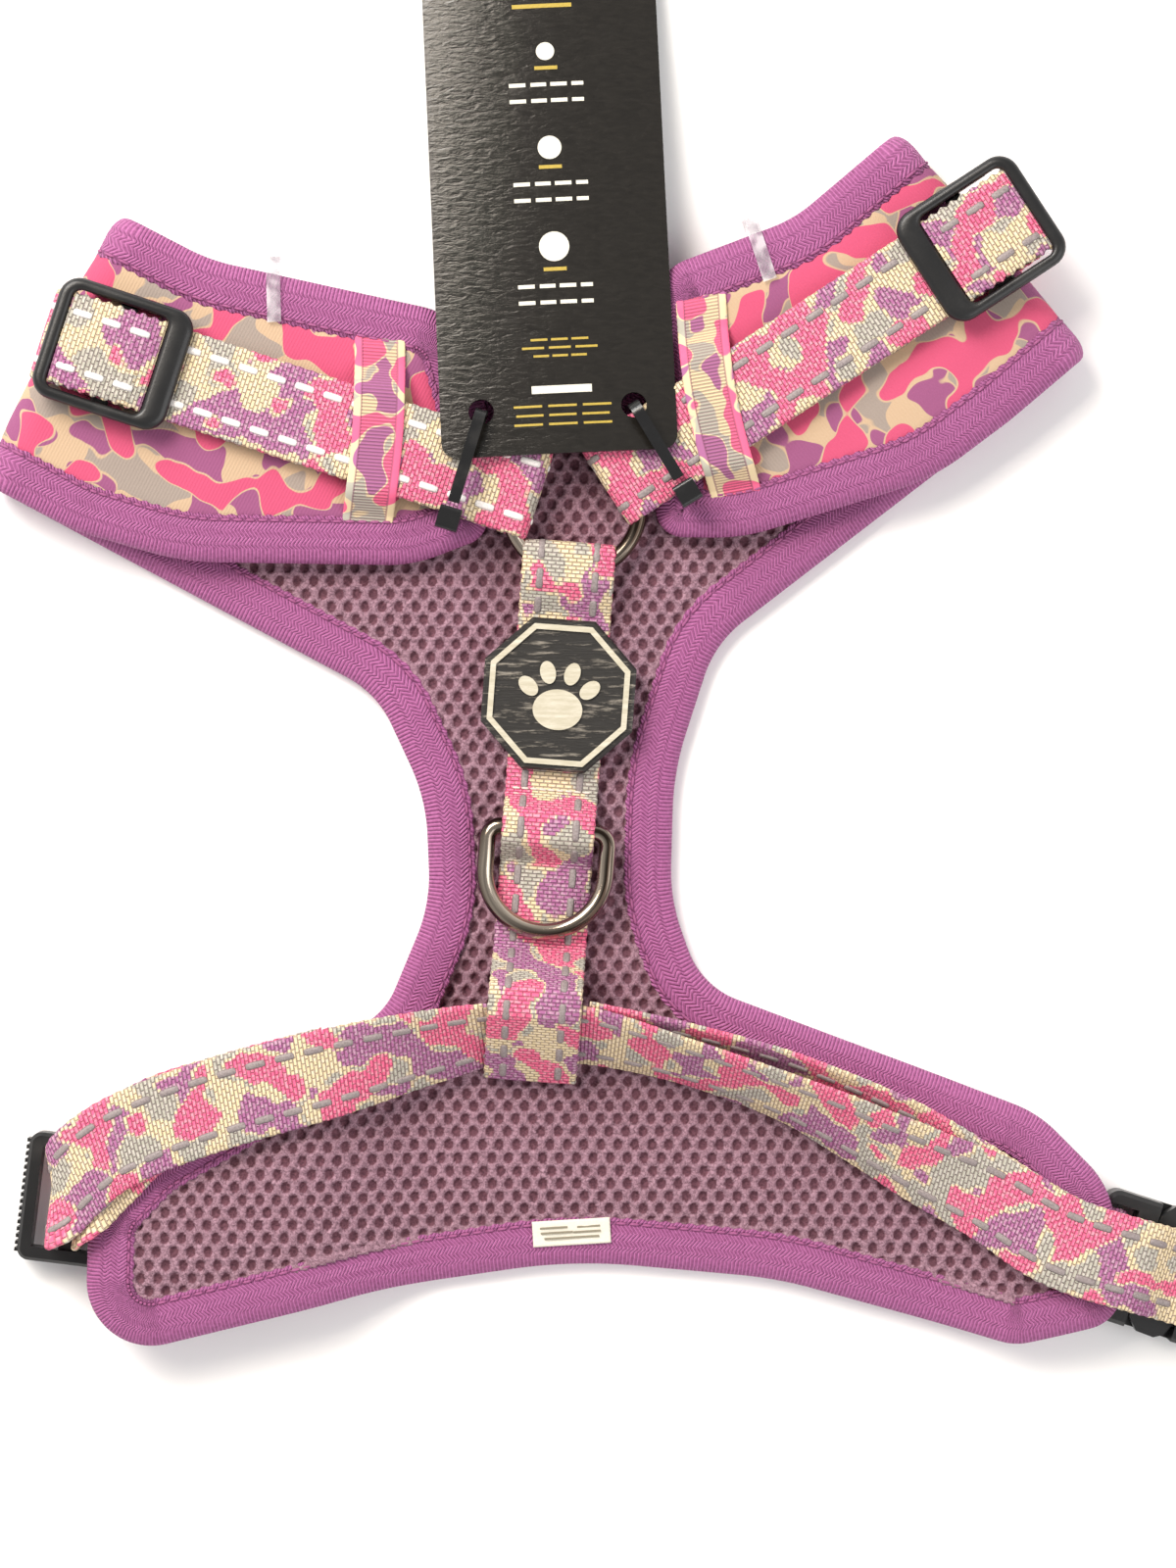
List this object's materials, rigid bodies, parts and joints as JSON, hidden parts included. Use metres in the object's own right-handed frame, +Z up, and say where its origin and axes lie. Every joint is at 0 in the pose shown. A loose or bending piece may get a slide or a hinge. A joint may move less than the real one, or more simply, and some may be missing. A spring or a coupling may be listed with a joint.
{
  "type": "no pull pet harness",
  "caption": "Padded chest harness for a small dog, folded flat, with neck straps on a round ring, a leash D-ring, and an adjustable girth strap with side-release buckles.",
  "frame": {"origin": "middle of the waist of the chest panel, on the surface the harness lies on", "axes": "+Y towards the neck and the hang tag, +X across the chest, +Z up off the surface"},
  "size_m": [0.2981, 0.3276, 0.0255],
  "materials": {
    "printed_fabric": "printed smooth polyester",
    "air_mesh": "matt knitted mesh",
    "binding_tape": "twill tape",
    "printed_webbing": "woven webbing with reflective stitches",
    "printed_elastic": "ribbed elastic",
    "nickel": "dark polished nickel",
    "black_plastic": "fine satin",
    "badge_rubber": "matt",
    "badge_print": "matt",
    "tag_card": "glossy coated",
    "tie_plastic": "smooth",
    "clear_film": "clear film",
    "label_cloth": "satin woven"
  },
  "bodies": {
    "harness": {"anchor_left": "printed_webbing", "anchor_right": "printed_webbing", "badge_base": "badge_rubber", "badge_relief": "badge_print", "buckle_female_left": "black_plastic", "buckle_female_right": "black_plastic", "care_label": "label_cloth", "chest_mesh": "air_mesh", "chest_shell": "printed_fabric", "clear_loop_left": "clear_film", "clear_loop_right": "clear_film", "edge_binding": "binding_tape", "girth_strap": "printed_webbing", "keeper_left": "printed_elastic", "keeper_right": "printed_elastic", "neck_strap_left": "printed_webbing", "neck_strap_right": "printed_webbing", "neck_strap_tail_left": "printed_webbing", "neck_strap_tail_right": "printed_webbing", "spine_strap": "printed_webbing", "tag_tie_left": "tie_plastic", "tag_tie_right": "tie_plastic"},
    "neck_ring": {"neck_ring": "nickel"},
    "leash_ring": {"leash_ring": "nickel"},
    "hang_tag": {"hang_tag": "tag_card"},
    "slider_left": {"slider_left": "black_plastic"},
    "buckle_male_left": {"buckle_male_left": "black_plastic"},
    "buckle_arm_upper_left": {"buckle_arm_upper_left": "black_plastic"},
    "buckle_arm_lower_left": {"buckle_arm_lower_left": "black_plastic"},
    "slider_right": {"slider_right": "black_plastic"},
    "buckle_male_right": {"buckle_male_right": "black_plastic"},
    "buckle_arm_upper_right": {"buckle_arm_upper_right": "black_plastic"},
    "buckle_arm_lower_right": {"buckle_arm_lower_right": "black_plastic"}
  },
  "joints": [
    {"name": "neck_ring_spin", "type": "hinge", "parent": "harness", "child": "neck_ring", "pos_m": [0.0052, 0.0774, 0.0112], "axis": [0, -0.1564, 0.9877], "continuous": true},
    {"name": "leash_ring_flip", "type": "hinge", "parent": "harness", "child": "leash_ring", "pos_m": [-0.00037, 0.00748, 0.0104], "axis": [-0.9972, 0.075, 0], "range_deg": [0, 150]},
    {"name": "slider_left_slide", "type": "slide", "parent": "harness", "child": "slider_left", "axis": [0.95, -0.3108, -0.031], "range_m": [0, 0.03], "deforming": ["neck_strap_tail_left"]},
    {"name": "buckle_left_release", "type": "slide", "parent": "harness", "child": "buckle_male_left", "axis": [-0.9925, 0.1219, 0], "range_m": [0, 0.026], "deforming": ["girth_strap", "buckle_arm_upper_left", "buckle_arm_lower_left"]},
    {"name": "buckle_left_upper_arm_squeeze", "type": "hinge", "parent": "buckle_male_left", "child": "buckle_arm_upper_left", "pos_m": [-0.09364, -0.0846, 0.0042], "axis": [0, 0, 1], "range_deg": [0, 8], "stiffness_Nm_per_rad": 0.02},
    {"name": "buckle_left_lower_arm_squeeze", "type": "hinge", "parent": "buckle_male_left", "child": "buckle_arm_lower_left", "pos_m": [-0.0913, -0.06555, 0.0042], "axis": [0, 0, -1], "range_deg": [0, 8], "stiffness_Nm_per_rad": 0.02},
    {"name": "slider_right_slide", "type": "slide", "parent": "harness", "child": "slider_right", "axis": [-0.8369, -0.5464, -0.0312], "range_m": [0, 0.03], "deforming": ["neck_strap_tail_right"]},
    {"name": "buckle_right_release", "type": "slide", "parent": "harness", "child": "buckle_male_right", "axis": [0.9511, -0.309, 0], "range_m": [0, 0.026], "deforming": ["girth_strap", "buckle_arm_upper_right", "buckle_arm_lower_right"]},
    {"name": "buckle_right_upper_arm_squeeze", "type": "hinge", "parent": "buckle_male_right", "child": "buckle_arm_upper_right", "pos_m": [0.15063, -0.08447, 0.0042], "axis": [0, 0, 1], "range_deg": [0, 8], "stiffness_Nm_per_rad": 0.02},
    {"name": "buckle_right_lower_arm_squeeze", "type": "hinge", "parent": "buckle_male_right", "child": "buckle_arm_lower_right", "pos_m": [0.1447, -0.10273, 0.0042], "axis": [0, 0, -1], "range_deg": [0, 8], "stiffness_Nm_per_rad": 0.02},
    {"name": "hang_tag_lift", "type": "hinge", "parent": "harness", "child": "hang_tag", "pos_m": [0.0022, 0.0884, 0.018], "axis": [0.9989, 0.0471, 0], "range_deg": [0, 12]}
  ],
  "couplings": [
    {"joint": "buckle_left_lower_arm_squeeze", "follows": "buckle_left_upper_arm_squeeze", "ratio": 1},
    {"joint": "buckle_right_lower_arm_squeeze", "follows": "buckle_right_upper_arm_squeeze", "ratio": 1}
  ]
}
